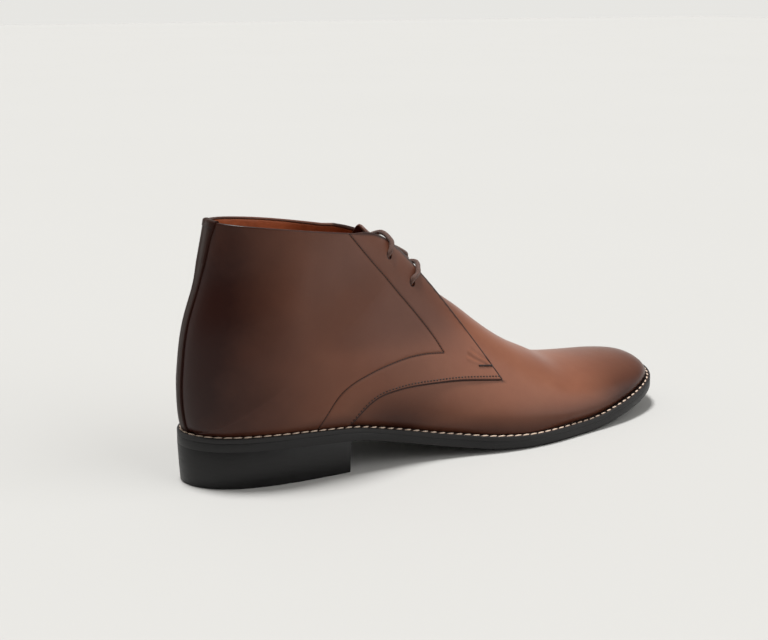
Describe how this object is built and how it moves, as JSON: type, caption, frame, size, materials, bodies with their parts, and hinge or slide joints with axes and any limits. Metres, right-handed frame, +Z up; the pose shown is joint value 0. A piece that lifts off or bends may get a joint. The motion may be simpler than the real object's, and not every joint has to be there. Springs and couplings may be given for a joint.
{
  "type": "chukka boot",
  "caption": "Right ankle-high chukka boot in smooth brown leather, laced over a tongue, on a stitched welt, thin dark sole and low black heel.",
  "frame": {"origin": "on the floor under the middle of the heel", "axes": "+X from heel to toe, +Y to the inner side of the foot, +Z up"},
  "size_m": [0.2943, 0.0947, 0.1298],
  "materials": {
    "sole": "satin",
    "heel": "satin",
    "welt": "satin",
    "insole": "matte",
    "upper_leather": "satin",
    "strip_leather": "satin",
    "lace": "matte"
  },
  "bodies": {
    "root": {"outsole": "sole", "heel_block": "heel", "welt": "welt", "insole": "insole", "upper": "upper_leather", "tongue": "upper_leather", "back_strip": "strip_leather", "lace_bar_upper": "lace", "lace_bar_lower": "lace", "lace_crossing": "lace"}
  },
  "joints": []
}
